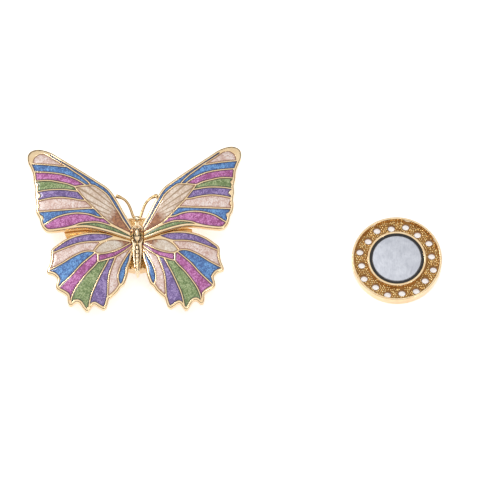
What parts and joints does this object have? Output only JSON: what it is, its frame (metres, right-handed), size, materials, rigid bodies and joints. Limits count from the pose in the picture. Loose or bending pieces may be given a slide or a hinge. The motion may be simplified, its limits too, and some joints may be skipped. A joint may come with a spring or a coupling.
{
  "type": "brooch",
  "caption": "Butterfly brooch with enamel-filled domed wings on a magnet cup, and a loose round magnetic keeper that clasps it through cloth.",
  "frame": {"origin": "centre of the brooch's magnet face, on the surface the brooch lies on", "axes": "+Z out of the brooch's front, +Y towards the butterfly's head, +X towards the keeper that lies beside it"},
  "size_m": [0.1008, 0.0428, 0.0079],
  "materials": {
    "gold_plate": "polished pale gold plate",
    "enamel_blue": "pearl enamel under a clear coat",
    "enamel_magenta": "pearl enamel under a clear coat",
    "enamel_green": "pearl enamel under a clear coat",
    "enamel_purple": "pearl enamel under a clear coat",
    "enamel_pink": "pearl enamel under a clear coat",
    "enamel_cream": "pearl enamel under a clear coat",
    "magnet_nickel": "nickel-plated magnet, slightly mottled",
    "liner_black": "dark satin liner"
  },
  "bodies": {
    "keeper": {"keeper_disc": "gold_plate", "keeper_liner": "liner_black", "keeper_magnet": "magnet_nickel"},
    "brooch": {"base_cup": "gold_plate", "base_liner": "liner_black", "base_magnet": "magnet_nickel", "mounting_post": "gold_plate", "wing_bridge": "gold_plate", "forewing_left": "gold_plate", "forewing_right": "gold_plate", "hindwing_left": "gold_plate", "hindwing_right": "gold_plate", "body_casting": "gold_plate", "antenna_left": "gold_plate", "antenna_right": "gold_plate", "fore_tip_pink_left": "enamel_pink", "fore_upper_blue_left": "enamel_blue", "fore_upper_magenta_left": "enamel_magenta", "fore_upper_green_left": "enamel_green", "fore_purple_left": "enamel_purple", "fore_mid_pink_left": "enamel_pink", "fore_lower_blue_left": "enamel_blue", "fore_lower_magenta_left": "enamel_magenta", "fore_lower_green_left": "enamel_green", "fore_costal_blue_left": "enamel_blue", "fore_discal_cream_left": "enamel_cream", "fore_tip_pink_right": "enamel_pink", "fore_upper_blue_right": "enamel_blue", "fore_upper_magenta_right": "enamel_magenta", "fore_upper_green_right": "enamel_green", "fore_purple_right": "enamel_purple", "fore_mid_pink_right": "enamel_pink", "fore_lower_blue_right": "enamel_blue", "fore_lower_magenta_right": "enamel_magenta", "fore_lower_green_right": "enamel_green", "fore_costal_blue_right": "enamel_blue", "fore_discal_cream_right": "enamel_cream", "hind_top_purple_left": "enamel_purple", "hind_top_pink_left": "enamel_pink", "hind_outer_blue_left": "enamel_blue", "hind_outer_magenta_left": "enamel_magenta", "hind_green_left": "enamel_green", "hind_lower_purple_left": "enamel_purple", "hind_inner_pink_left": "enamel_pink", "hind_inner_blue_left": "enamel_blue", "hind_inner_magenta_left": "enamel_magenta", "hind_discal_cream_left": "enamel_cream", "hind_top_purple_right": "enamel_purple", "hind_top_pink_right": "enamel_pink", "hind_outer_blue_right": "enamel_blue", "hind_outer_magenta_right": "enamel_magenta", "hind_green_right": "enamel_green", "hind_lower_purple_right": "enamel_purple", "hind_inner_pink_right": "enamel_pink", "hind_inner_blue_right": "enamel_blue", "hind_inner_magenta_right": "enamel_magenta", "hind_discal_cream_right": "enamel_cream"}
  },
  "joints": [
    {"name": "clasp_slide", "type": "slide", "parent": "keeper", "child": "brooch", "axis": [0.9942, -0.0789, 0.0726], "range_m": [0, 0.06337]}
  ]
}
